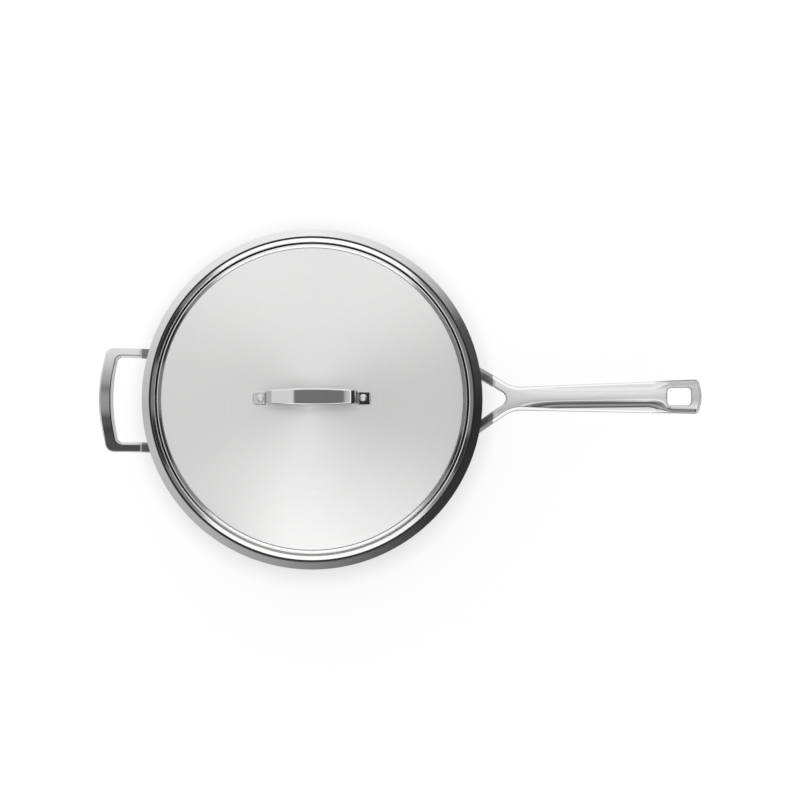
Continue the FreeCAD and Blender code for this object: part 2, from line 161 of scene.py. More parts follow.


# Satin dome: fine rings of lighter and darker steel about the Z axis, polished beyond the dome's edge, and
# painted dark and dull as shade in the groove, on the fine step and at the turned-down edge, less where light
# falls in.
def lidLook(wire, place):
    x, y = place.xyz()[:2]
    blur = satinLook["blur"]
    radius = wire.math("SQRT", x * x + y * y) / mm
    polished = radius.step(*satinLook["dome"])
    lit = (0.0 - y / mm / radius).step(*satinLook["lit"])
    groove = radius.band(*satinLook["groove"], blur) * (1.0 - lit * satinLook["litShare"])
    creviceShade = wire.math("MAXIMUM", groove, radius.step(*satinLook["edge"]))
    creviceShade = wire.math("MAXIMUM", creviceShade, radius.band(*satinLook["stepLine"], blur) * satinLook["stepShare"])
    rings = brushedRings(wire, place, radius * mm * satinLook["lineScale"], satinLook["drift"])
    cloud = wire.noise(place, satinLook["cloudScale"])
    wear = rings * (1.0 - satinLook["cloudShare"]) + cloud * satinLook["cloudShare"]
    satin = satinLook["satin"] + (wear - 0.5) * satinLook["satinWear"]
    polish = satinLook["polish"] + (cloud - 0.5) * satinLook["polishWear"]
    tone = wear * (1.0 - polished) + polished * satinLook["polishTone"]
    steel = wire.tint(tone, *satinLook["shades"])
    return {
        "Base Color": wire.tint(creviceShade, steel, satinLook["creviceShade"]),
        "Roughness": satin * (1.0 - polished) + polished * (polish + creviceShade * satinLook["creviceRough"]),
        "Normal": bumped(wire, rings * (1.0 - polished)),
    }


polishLook = {
    "shades": ((0.66, 0.66, 0.665), (0.75, 0.75, 0.75)), "rough": 0.04, "wear": 0.03, "cloudScale": 32.0,
    "detail": 3.0, "hairRough": 0.65, "cloudShare": 0.6, "strength": 0.02, "depth": 0.00002,
    # colours of the painted shade and the painted highlight, and the roughness under the painted shade
    "paintedShade": (0.28, 0.28, 0.28), "dullRough": 0.34, "paintedHighlight": (0.93, 0.93, 0.93),
    "change": (0.3, 0.9),  # painted light values over which the painted shade or the painted highlight sets in
}


# Bright polish: faint clouds and hair lines drawn along one direction. Where the piece carries a painted light
# value, 1 is painted shade, darker and duller, and -1 is a painted highlight along an edge.
def polishedLook(stretch, lift=0.0):
    def look(wire, place):
        x, y, z = place.xyz()
        cloud = wire.noise(place, polishLook["cloudScale"], polishLook["detail"])
        drawn = wire.joined(x * stretch[0], y * stretch[1], z * stretch[2])
        hair = wire.noise(drawn, 1.0, polishLook["detail"], polishLook["hairRough"])
        rough = polishLook["rough"] + lift + (cloud + hair - 1.0) * polishLook["wear"]
        tone = cloud * polishLook["cloudShare"] + hair * (1.0 - polishLook["cloudShare"])
        steel = wire.tint(tone, *polishLook["shades"])
        finish = wire.make("ShaderNodeAttribute", {"attribute_name": "finish"}, {}, "Fac")
        paintedShade, paintedHighlight = [way.step(*polishLook["change"]) for way in (finish, 0.0 - finish)]
        steel = wire.tint(paintedHighlight, steel, polishLook["paintedHighlight"])
        return {
            "Base Color": wire.tint(paintedShade, steel, polishLook["paintedShade"]),
            "Roughness": rough + paintedShade * polishLook["dullRough"],
            "Normal": bumped(wire, hair, polishLook["strength"], polishLook["depth"]),
        }
    return look


potLook = {
    "brushed": 0.3, "brushedWear": 0.16, "ringShare": 0.6, "lipWear": 0.04, "creviceRough": 0.3,
    "insideDrift": 5.0, "insideCloud": 18.0, "lineScale": 1900.0,
    "lip": (139.0, 141.0),  # mm, where brushing turns into polish
    "creviceStart": (139.6, 139.9), "creviceEnd": (141.6, 141.9),  # mm, the line where the lid's edge sits, painted dark as its shade
    # colour of that painted shade
    "creviceShadeTone": (0.04, 0.04, 0.04),
    "base": 0.26, "baseWear": 0.15, "baseHeight": (0.0002, 0.0012),  # metres
    "wall": 0.05, "cloudWear": 0.03, "ringWear": 0.04, "outsideDrift": 4.0, "outsideCloud": 24.0,
    "strength": 0.03,
}


# Inside of the pan: rings of brushing on base and wall, bright where the lip turns out, and a line of painted
# shade, dark and dull, where the lid's edge sits.
def insideLook(wire, place):
    x, y, z = place.xyz()
    radius = wire.math("SQRT", x * x + y * y) / mm
    lip = radius.step(*potLook["lip"])
    creviceShade = radius.step(*potLook["creviceStart"]) * (1.0 - radius.step(*potLook["creviceEnd"]))
    rings = brushedRings(wire, place, (radius * mm + z) * potLook["lineScale"], potLook["insideDrift"])
    cloud = wire.noise(place, potLook["insideCloud"])
    brushed = potLook["brushed"] + (rings - 0.5) * potLook["brushedWear"]
    polish = polishLook["rough"] + (cloud - 0.5) * potLook["lipWear"] + creviceShade * potLook["creviceRough"]
    tone = rings * potLook["ringShare"] + cloud * (1.0 - potLook["ringShare"])
    steel = wire.tint(tone, *polishLook["shades"])
    return {
        "Base Color": wire.tint(creviceShade, steel, potLook["creviceShadeTone"]),
        "Roughness": brushed * (1.0 - lip) + lip * polish,
        "Normal": bumped(wire, rings * (1.0 - lip)),
    }


# Outside of the pan: polished wall with hair lines round it, brushed rings under the base.
def outsideLook(wire, place):
    x, y, z = place.xyz()
    radius = wire.math("SQRT", x * x + y * y)
    under = 1.0 - z.step(*potLook["baseHeight"])
    rings = brushedRings(wire, place, (radius + z) * potLook["lineScale"], potLook["outsideDrift"])
    cloud = wire.noise(place, potLook["outsideCloud"], polishLook["detail"])
    wall = potLook["wall"] + (cloud - 0.5) * potLook["cloudWear"] + (rings - 0.5) * potLook["ringWear"]
    base = potLook["base"] + (rings - 0.5) * potLook["baseWear"]
    return {
        "Base Color": wire.tint((cloud + rings) * 0.5, *polishLook["shades"]),
        "Roughness": wall * (1.0 - under) + under * base,
        "Normal": bumped(wire, rings, potLook["strength"]),
    }


coreTone = {"shades": ((0.74, 0.75, 0.76), (0.86, 0.86, 0.87)), "across": 300.0, "up": 2000.0,
            "rough": 0.28, "wear": 0.14}


# Bare aluminium at the cut edge: dull, with short marks of the cutting roll.
def coreLook(wire, place):
    x, y, z = place.xyz()
    marks = wire.noise(wire.joined(x * coreTone["across"], y * coreTone["across"], z * coreTone["up"]), 1.0)
    return {
        "Base Color": wire.tint(marks, *coreTone["shades"]),
        "Roughness": coreTone["rough"] + marks * coreTone["wear"],
    }


rivetTone = {"shades": ((0.66, 0.66, 0.66), (0.78, 0.78, 0.775)), "cloudScale": 260.0,
             "rough": 0.36, "wear": 0.1}


# Rivet heads: light and satin, faintly clouded.
def rivetLook(wire, place):
    cloud = wire.noise(place, rivetTone["cloudScale"])
    return {
        "Base Color": wire.tint(cloud, *rivetTone["shades"]),
        "Roughness": rivetTone["rough"] + (cloud - 0.5) * rivetTone["wear"],
    }


lidSteel = metal("lidSteel", lidLook, anisotropy=0.59)
insideSteel = metal("insideSteel", insideLook, anisotropy=0.4)
outsideSteel = metal("outsideSteel", outsideLook)
coreAluminium = metal("coreAluminium", coreLook)
handleSteel = metal("handleSteel", polishedLook((40.0, 900.0, 900.0)))  # hair lines a metre along X, Y and Z
helperSteel = metal("helperSteel", polishedLook((700.0, 60.0, 700.0)))
strapSteel = metal("strapSteel", polishedLook((60.0, 900.0, 900.0), 0.01))
rivetSteel = metal("rivetSteel", rivetLook)
print("metals made")


joinReach = 0.0005  # mm, points closer than this are one


# Grids of points (rows, columns, xyz in mm and a painted light value if any) become one mesh: neighbours make
# quads, equal points are joined, folded quads turn into triangles, and edges steeper than the crisp angle stay
# sharp.
def addPiece(name, grids, material, body, nodes, crisp=38.0):
    points, quads, start = [], [], 0
    for grid in grids:
        rows, columns = grid.shape[:2]
        index = start + np.arange(rows * columns).reshape(rows, columns)
        corners = (index[:-1, :-1], index[:-1, 1:], index[1:, 1:], index[1:, :-1])
        quads.append(np.stack(corners, -1).reshape(-1, 4))
        points.append(np.pad(grid, ((0, 0), (0, 0), (0, 4 - grid.shape[2]))).reshape(-1, 4))
        start += rows * columns
    points, finish = np.split(np.concatenate(points), [3], axis=1)
    keys = np.round(points / joinReach).astype(np.int64)
    first, inverse = np.unique(keys, axis=0, return_index=True, return_inverse=True)[1:]
    quads = inverse.reshape(-1)[np.concatenate(quads)]
    same = quads == np.roll(quads, -1, axis=1)
    whole = quads[~same.any(axis=1)]
    folded = same.sum(axis=1) == 1
    triangles = quads[folded][~same[folded]].reshape(-1, 3)
    triangles = triangles[(triangles != np.roll(triangles, 1, axis=1)).all(axis=1)]
    crossed = (whole[:, :2] == whole[:, 2:]).any(axis=1)
    mesh = bpy.data.meshes.new(name)
    mesh.from_pydata((points[first] * mm).tolist(), [], whole[~crossed].tolist() + triangles.tolist())
    outward(mesh)
    mesh.attributes.new("finish", "FLOAT", "POINT").data.foreach_set("value", finish[first, 0])
    mesh.polygons.foreach_set("use_smooth", np.ones(len(mesh.polygons), dtype=bool))
    mesh.set_sharp_from_angle(angle=radians(crisp))
    mesh.materials.append(material)
    piece = bpy.data.objects.new(name, mesh)
    bpy.context.scene.collection.objects.link(piece)
    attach(piece, body)
    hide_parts(*nodes)
    print("piece", name, len(mesh.vertices), "points", len(mesh.polygons), "faces")


# Every closed shell gets its faces turned outwards.
def outward(mesh):
    shell = bmesh.new()
    shell.from_mesh(mesh)
    bmesh.ops.recalc_face_normals(shell, faces=shell.faces)
    shell.to_mesh(mesh)
    shell.free()


# 0 below low, 1 above high and an S curve between.
def smoothStep(value, low, high):
    share = np.clip((value - low) / (high - low), 0.0, 1.0)
    return share * share * (3.0 - 2.0 * share)


# Lines and arcs laid end to end: a step is (length,) or (radius, turn in degrees), and a left turn is positive.
# Rows of u, v and the heading in radians, arcs sampled every few degrees.
def tracePath(start, heading, steps, turnStep=3.0, least=6):
    u, v = start
    angle = radians(heading)
    rows = [np.array([[u, v, angle]])]
    for step in steps:
        if len(step) == 1:
            share = np.array([0.08, 0.5, 0.92, 1.0] if step[0] > 1.0 else [0.5, 1.0])  # close to both ends
            row = np.stack([u + share * step[0] * np.cos(angle), v + share * step[0] * np.sin(angle),
                            np.full(len(share), angle)], 1)
        else:
            radius, turn = step
            count = max(least, ceil(abs(turn) / turnStep))
            now = angle + radians(turn) * np.arange(1, count + 1) / count
            side = copysign(radius, turn)
            row = np.stack([u + side * (np.sin(now) - np.sin(angle)),
                            v - side * (np.cos(now) - np.cos(angle)), now], 1)
        rows.append(row)
        u, v, angle = row[-1]
    return np.concatenate(rows)


# The path moved square to itself, to the right of its heading.
def beside(path, shift):
    return np.stack([path[:, 0] + shift * np.sin(path[:, 2]), path[:, 1] - shift * np.cos(path[:, 2])], 1)


# A profile of (radius, height) carried once round the Z axis.
def spun(profile, count):
    turn = 2.0 * np.pi * (np.arange(count + 1) % count) / count
    radius = profile[:, :1]
    height = np.repeat(profile[:, 1:], count + 1, axis=1)
    return np.stack([radius * np.cos(turn), radius * np.sin(turn), height], -1)


pan = {
    "innerRadius": 137.6, "height": 70.0, "layers": (0.5, 1.5, 0.5), "cornerRadius": 13.5,
    "lipBend": 3.0, "lipDroop": 30.0, "lipOverhang": 7.9, "segments": 300,
}
pan["wall"] = sum(pan["layers"])
pan["outerRadius"] = pan["innerRadius"] + pan["wall"]


# Three sheets spun to one shape: base, corner, wall, lip bend and drooping lip, each layer between two offsets.
def buildPan():
    droop = radians(pan["lipDroop"])
    bendHeight = pan["height"] - pan["lipBend"]
    reach = pan["lipOverhang"] + pan["wall"] - pan["lipBend"] * (1.0 + sin(droop))
    path = tracePath((0.0, pan["wall"]), 0.0, [
        (pan["innerRadius"] - pan["cornerRadius"],),
        (pan["cornerRadius"], 90.0),
        (bendHeight - pan["wall"] - pan["cornerRadius"],),
        (pan["lipBend"], -90.0 - pan["lipDroop"]),
        (reach / cos(droop),),
    ])
    surfaceLooks = (
        ("panInside", insideSteel, "pan_inner_skin", "inner_steel"),
        ("panCore", coreAluminium, "pan_aluminium_core", "core_aluminium"),
        ("panOutside", outsideSteel, "pan_outer_skin", "polished_steel"),
    )
    depth = 0.0
    for (name, material, node, slotName), thickness in zip(surfaceLooks, pan["layers"]):
        profile = np.concatenate([beside(path, depth), beside(path, depth + thickness)[::-1]])
        addPiece(name, [spun(profile, pan["segments"])], material, "pan", [node])
        depth += thickness


lid = {
    "thickness": 0.85, "edgeInset": 0.1, "seatGap": 0.3, "domeEdge": 10.57, "domeStep": 50.0, "stepFold": 0.45,
    "foldOuter": 1.0, "foldInner": 0.35, "ringWidth": 2.5, "ringRise": 3.5, "beadWall": 75.0, "beadLength": 1.1,
    "beadGap": 0.85, "flangeRise": 3.5, "segments": 360, "edgePoints": 9,
}


# One pressed sheet: dome, fine step, ring, groove and flange, closed by a rounded edge.
# Returns the dome's top height and its ball radius.
def buildLid():
    thickness = lid["thickness"]
    rim = [
        (lid["stepFold"], lid["domeEdge"] - lid["domeStep"]),
        (lid["foldInner"], lid["domeStep"] + lid["ringRise"]),
        (lid["ringWidth"],),
        (lid["foldOuter"], -lid["beadWall"] - lid["ringRise"]),
        (lid["beadLength"],),
        (lid["foldInner"], 2.0 * lid["beadWall"]),
    ]
    beadSide = tracePath((0.0, 0.0), -lid["domeEdge"], rim)[-1, 0] + thickness * sin(radians(lid["beadWall"]))
    domeRadius = pan["innerRadius"] - lid["beadGap"] - beadSide
    ball = domeRadius / sin(radians(lid["domeEdge"]))
    rim = [(ball, -lid["domeEdge"]), *rim, (lid["beadLength"],)]
    rim.append((lid["foldOuter"], lid["flangeRise"] - lid["beadWall"]))
    crest = pan["innerRadius"] + pan["lipBend"]
    edge = thickness / 2.0
    edgeCentre = crest - lid["edgeInset"] - edge
    rise = radians(lid["flangeRise"])
    rim.append(((edgeCentre - tracePath((0.0, 0.0), 0.0, rim)[-1, 0]) / cos(rise),))
    seatReach = pan["lipBend"] + lid["seatGap"] + edge
    edgeHeight = pan["height"] - pan["lipBend"] + sqrt(seatReach ** 2 - (crest - edgeCentre) ** 2)
    top = edgeHeight + edge * cos(rise) - tracePath((0.0, 0.0), 0.0, rim)[-1, 1]
    path = tracePath((0.0, top), 0.0, rim, turnStep=5.0)
    dome = tracePath((0.0, top), 0.0, rim[:1], turnStep=0.3)
    path = np.concatenate([dome, path[path[:, 0] > dome[-1, 0] + 1e-6]])
    around = path[-1, 2] + np.radians(np.linspace(90.0, -90.0, lid["edgePoints"]))[1:-1]
    rounded = beside(path[-1:], edge) + edge * np.stack([np.cos(around), np.sin(around)], 1)
    profile = np.concatenate([beside(path, 0.0), rounded, beside(path, thickness)[::-1]])
    addPiece("lidSheet", [spun(profile, lid["segments"])], lidSteel, "lid", ["lid_sheet"])
    return top, ball


strap = {
    "rivetSpacing": 88.8, "thickness": 3.6, "edge": 1.4, "footEnd": 6.5, "footInner": 3.6, "footBend": 4.4,
    "leg": 86.0, "legLength": 13.78, "shoulder": 3.5, "arch": 8.0, "gripWidth": 15.2, "taper": 2.8,
    "taperRadius": 400.0, "corner": 2.2, "seat": 0.05, "padSlope": 18.0, "padMost": 0.6, "padBlur": 1.0,
    "edgeMost": 0.98,
    "tipRuns": (0.04, 0.1, 0.2, 0.3, 0.5, 0.5, 0.6),  # short runs that carry the rounded ends
    "flat": (0.94, 0.5, 0.0, -0.5, -0.94),  # places across the flats that keep their shading level
    "quarter": 7,  # points round each corner of the section
}


# Lid handle: a rounded rectangle carried along the bent strap's middle line. Its width follows the plan taper,
# both ends are rounded by drawing the section in over the last millimetre, and the feet thin out to their ends.
def buildStrap(lidTop, ball):
    half = strap["rivetSpacing"] / 2.0
    slope = asin(half / ball)
    seatHeight = lidTop - ball * (1.0 - cos(slope))
    start = (-half - strap["footEnd"] * cos(slope) - strap["seat"] * sin(slope),
             seatHeight - strap["footEnd"] * sin(slope) + strap["seat"] * cos(slope))
    foot = strap["footEnd"] + strap["footInner"]
    climb = [
        *[(run,) for run in strap["tipRuns"]], (foot - sum(strap["tipRuns"]),),
        (strap["footBend"], strap["leg"] - degrees(slope)), (strap["legLength"],),
        (strap["shoulder"], strap["arch"] - strap["leg"]),
    ]
    arch = -tracePath(start, degrees(slope), climb)[-1, 0] / sin(radians(strap["arch"]))
    route = [*climb, (arch, -2.0 * strap["arch"]), *reversed(climb)]
    path = tracePath(start, degrees(slope), route, turnStep=0.8)
    middle = beside(path, -strap["thickness"] / 2.0)
    along = np.abs(path[:, 0])
    arcEnd = strap["taperRadius"] * sin(radians(strap["taper"]))
    bow = strap["taperRadius"] - np.sqrt(strap["taperRadius"] ** 2 - np.minimum(along, arcEnd) ** 2)
    taper = np.maximum(along - arcEnd, 0.0) * tan(radians(strap["taper"]))
    width = strap["gripWidth"] / 2.0 - bow - taper
    left = -start[0] - along  # distance from the strap's end

    def drawnIn(radius):
        gap = radius - np.clip(left, 0.0, radius)
        return radius - np.sqrt(np.maximum(radius ** 2 - gap ** 2, 0.0))

    width = width - np.maximum(drawnIn(strap["corner"]), drawnIn(strap["edge"]))
    thick = strap["thickness"] / 2.0 - drawnIn(strap["edge"])
    edge = np.minimum(strap["edge"], thick * strap["edgeMost"])[:, None]
    quarter, flat = strap["quarter"], np.array(strap["flat"])
    turn = np.radians(np.linspace(0.0, 90.0, quarter))
    corner = np.concatenate([turn, np.full(len(flat), np.pi / 2), turn + np.pi / 2, turn + np.pi,
                             np.full(len(flat), 1.5 * np.pi), turn + 1.5 * np.pi, turn[:1]])
    sideSign = np.concatenate([np.ones(quarter), flat, -np.ones(2 * quarter), -flat, np.ones(quarter + 1)])
    upSign = np.repeat([1.0, -1.0, 1.0], [2 * quarter + len(flat), 2 * quarter + len(flat), 1])
    across = sideSign * (width[:, None] - edge) + edge * np.cos(corner)
    rise = upSign * (thick[:, None] - edge) + edge * np.sin(corner)
    bendStart = half - strap["footInner"] * cos(slope)
    pad = strap["padMost"] - np.maximum(along - bendStart, 0.0) * tan(radians(strap["padSlope"]))
    pad = pad * smoothStep(along, bendStart - strap["padBlur"], bendStart)
    rise = (rise + thick[:, None]) * (1.0 + pad / strap["thickness"])[:, None] - thick[:, None]
    across, rise = [np.pad(part, ((1, 1), (0, 0))) for part in (across, rise)]  # the ends close in a point
    heading = np.pad(path[:, 2], 1, mode="edge")[:, None]
    middle = np.pad(middle, ((1, 1), (0, 0)), mode="edge")
    grid = np.stack([middle[:, :1] - np.sin(heading) * rise, across,
                     middle[:, 1:] + np.cos(heading) * rise], -1)
    addPiece("lidStrap", [grid], strapSteel, "lid", ["lid_handle"])


# Straight runs with each corner (x, y, radius) rounded by a tangent arc, as closely spaced points from y = 0 up.
def roundedLine(corners, arcPoints=81, spacing=0.5):
    points = np.array([corner[:2] for corner in corners], dtype=float)
    line = [points[:1]]
    for place, before, after, corner in zip(points[1:-1], points[:-2], points[2:], corners[1:-1]):
        back = (before - place) / np.linalg.norm(before - place)
        ahead = (after - place) / np.linalg.norm(after - place)
        half = acos(np.clip(back @ ahead, -1.0, 1.0)) / 2.0
        middle = (back + ahead) / np.linalg.norm(back + ahead)
        centre = place + middle * corner[2] / sin(half)
        sweep = np.linspace(half - np.pi / 2, np.pi / 2 - half, arcPoints)[:, None]
        turnSign = np.sign(back[0] * ahead[1] - back[1] * ahead[0])
        cross = np.array([middle[1], -middle[0]]) * turnSign
        line.append(centre - middle * corner[2] * np.cos(sweep) - cross * corner[2] * np.sin(sweep))
    line.append(points[-1:])
    line = np.concatenate(line)
    length = lengths(line)
    line = pointsAt(line, np.union1d(length, np.arange(0.0, length[-1], spacing)))
    return line[line[:, 1] > -1e-6]


# Points of a line at given lengths along it.
def pointsAt(line, at):
    length = lengths(line)
    return np.stack([np.interp(at, length, line[:, axis]) for axis in (0, 1)], 1)


# The same line as evenly spaced points, from length first to length last, with unit normals to its left.
def spread(line, first, last, count, probe=0.05):
    at = np.linspace(first, last, count)
    before, after = [pointsAt(line, np.clip(at + side * probe, 0.0, lengths(line)[-1])) for side in (-1.0, 1.0)]
    way = (after - before) / np.linalg.norm(after - before, axis=1)[:, None]
    return pointsAt(line, at), np.stack([-way[:, 1], way[:, 0]], 1)


# Length along a line at each of its points.
def lengths(line):
    return np.concatenate([[0.0], np.cumsum(np.linalg.norm(np.diff(line, axis=0), axis=1))])


# Length along a line at which a measure of its points (say x, or distance from the axis) reaches a value.
def lengthAt(line, measure, value):
    order = np.argsort(measure, kind="stable")
    return float(np.interp(value, measure[order], lengths(line)[order]))


# Height of a strap crowned by a circle, along a path in the XZ plane: the path less the circle's sag at y.
def strapHeight(path, crown):
    def height(x, y):
        return np.interp(x, path[:, 0], path[:, 1]) - crown + np.sqrt(crown ** 2 - y ** 2)
    return height


# Vertical thickness of a sloping sheet of a given square thickness.
def uprightThickness(height, thickness, most, probe=0.4):
    def depth(x, y):
        fall = (height(x + probe, y) - height(x - probe, y)) / (2.0 * probe)
        lean = (height(x, np.abs(y) + probe) - height(x, np.abs(y))) / probe
        return np.minimum(thickness * np.sqrt(1.0 + fall ** 2 + lean ** 2), most)
    return depth


edgeForm = {"steep": 1.9, "power": 1.3, "rows": 10, "outlineShadeRows": 3, "underShare": 0.25, "least": 0.02,
            "paintedShadeBlur": 0.6}


# How far an edge has dropped at a share of its inset: a quarter circle, or a steep drafted side.
def edgeDrop(share, width, draft):
    rounded = 1.0 - np.sqrt(1.0 - (1.0 - share) ** 2)
    drafted = edgeForm["steep"] * (1.0 - share) ** edgeForm["power"]
    return width * (rounded * (1.0 - draft) + drafted * draft)


# Ribs between two edges seen from above: rows of offset points along the inner edge, a ruled middle and rows
# along the outer edge. Returns plan points and how far each one drops for its edge.
def ribs(inner, innerWay, innerRound, innerDraft, outer, outerWay, outerRound, outerDraft, count=14):
    inset = np.sin(np.radians(np.linspace(0.0, 90.0, edgeForm["rows"])))[:, None] ** 2
    share = np.linspace(0.0, 1.0, count)[:, None, None]
    inStart = inner + innerWay * innerRound
    outStart = outer + outerWay * outerRound[:, None]
    rows = [inStart * (1.0 - share) + outStart * share]
    drops = [np.zeros((count, len(inner)))]
    if innerRound > 0:
        rows.insert(0, inner[None] + innerWay[None] * innerRound * inset[:-1, :, None])
        drops.insert(0, np.repeat(edgeDrop(inset[:-1], innerRound, innerDraft), len(inner), axis=1))
    rows.append(outer[None] + outerWay[None] * (outerRound * inset[-2::-1])[:, :, None])
    drops.append(edgeDrop(inset[-2::-1], outerRound, outerDraft))
    return np.concatenate(rows), np.concatenate(drops)


# Painted light over a set of ribs: painted shade inside the shoulder and as a thin dark line along the outline,
# a value of its own along the edge, negative for a painted highlight, and another on the flats.
def ribPaintedLight(x, flat, paintedHighlight, shoulderX):
    side = np.zeros_like(x) + flat
    side[1 - edgeForm["rows"]:] = -paintedHighlight
    side[-edgeForm["outlineShadeRows"]:] = 1.0
    paintedShade = 1.0 - smoothStep(x, shoulderX - edgeForm["paintedShadeBlur"], shoulderX)
    return side * (1.0 - paintedShade) + paintedShade


# The top, the underside and the edge walls over one set of ribs, then the same mirrored in the XZ plane with
# painted light of its own.
def slabGrids(plan, drop, top, low, surfaceLooks, innerEdge, rootEnd):
    x, y = plan[..., 0], plan[..., 1]
    upper = top(x, y) - drop
    under = np.minimum(low(x, y) + drop * edgeForm["underShare"], upper - edgeForm["least"])
    grids = []
    for side, finish in zip((1.0, -1.0), surfaceLooks):
        above, below = [np.stack([x, side * y, height, finish], -1) for height in (upper, under)]
        grids += [above, below, np.stack([above[-1], below[-1]])]
        if innerEdge:
            grids.append(np.stack([above[0], below[0]]))
        if rootEnd:
            grids.append(np.stack([above[:, 0], below[:, 0]]))
    return grids


footForm = {"corner": 5.0, "edge": 1.2, "thick": 4.5, "sunk": 0.25,
            "outlinePoints": 97, "edgeRows": 7, "fillRows": 14, "swellRows": 12.0}
footRadius = pan["outerRadius"] + footForm["thick"] / 2.0


# A riveted foot bent round the wall: an outline of rounded corners filled towards its middle, with a rounded
# edge and a swelling where the arm grows out of it. u runs round the wall and z up it.
def footGrids(azimuth, foot, sign):
    side, bottom, top, corner = foot["width"] / 2.0, foot["bottom"], foot["top"], footForm["corner"]
    edgeRound, thick, sunk = footForm["edge"], footForm["thick"], footForm["sunk"]
    line = roundedLine([(0.0, bottom, 0.0), (side, bottom, corner), (side, top, corner),
                        (-side, top, corner), (-side, bottom, corner), (0.0, bottom, 0.0)])
    edge, way = spread(line, 0.0, lengths(line)[-1], footForm["outlinePoints"])
    edge[-1], way[-1] = edge[0], way[0]
    quarter = np.radians(np.linspace(0.0, 90.0, footForm["edgeRows"]))[:, None, None]
    rounded = edge[None] + way[None] * (edgeRound * (1.0 - np.cos(quarter)))
    share = np.linspace(1.0, 0.0, footForm["fillRows"] + 1)[1:, None, None]
    middle = np.array([0.0, (bottom + top) / 2.0])
    fill = middle + (rounded[-1] - middle) * share
    plan = np.concatenate([edge[None], rounded, fill])
    lift = np.concatenate([[-sunk], thick - edgeRound * (1.0 - np.sin(quarter[:, 0, 0])),
                           np.full(len(fill), thick)])[:, None]
    lift = np.repeat(lift, plan.shape[1], axis=1)
    around = (plan[1:, :, 0] + sign * foot["swellShift"]) / foot["swellWidth"]
    swell = foot["swell"] * np.exp(-around ** 2) * smoothStep(plan[1:, :, 1], *foot["swellRise"])
    lift[1:] += swell * smoothStep(np.arange(len(lift) - 1), 0.0, footForm["swellRows"])[:, None]
    back = np.stack([edge, np.repeat(middle[None], len(edge), axis=0)])
    grids = []
    for flat, out in ((plan, lift), (back, np.full(back.shape[:2], -sunk))):
        angle = azimuth + flat[..., 0] / pan["outerRadius"]
        radius = pan["outerRadius"] + out
        grids.append(np.stack([radius * np.cos(angle), radius * np.sin(angle), flat[..., 1]], -1))
    return grids


handle = {
    "tip": 336.98, "endWidth": 29.8, "endSlope": 14.0, "endRadius": 30.0, "corner": 4.0,
    "neckX": 174.4, "neckWidth": 19.9, "neckBlend": 25.0, "thickness": 8.0, "deepest": 12.0, "crown": 100.0,
    "crotchX": 168.0, "crotchRadius": 6.5, "fork": 33.0, "arm": 8.8, "shoulderX": 158.0, "shoulderZ": 67.0,
    "rootRise": 42.0, "neckRise": 12.9, "tipRise": 6.5, "bend": 4.0, "pathSpare": 3.0, "paintedShadeX": 157.3,
    "hole": (307.5, 327.8), "holeWidth": 15.0, "holeCorner": 3.2, "holeEdge": 1.2,
    "edge": 3.0, "gripEdge": 2.0, "tipEdge": 5.0, "innerEdge": 2.0, "gripFall": 0.01077, "gripPower": 2.65,
    "gripDepth": 12.6, "belly": 0.006, "gripStart": (172.0, 216.0), "gripEnd": (290.0, 311.0),
    "tipDull": 0.62, "flatDull": 0.5, "tipFlat": 0.3, "tipBright": (3.5, 5.0),
    "rootRadius": 139.9, "ribMarks": (172.0, 303.0, 327.5), "ribCounts": (56, 90, 60, 60),
}
handleFoot = {"width": 27.0, "bottom": 26.0, "top": 48.0,
              "swell": 2.6, "swellShift": 1.5, "swellWidth": 7.0, "swellRise": (38.0, 45.5)}


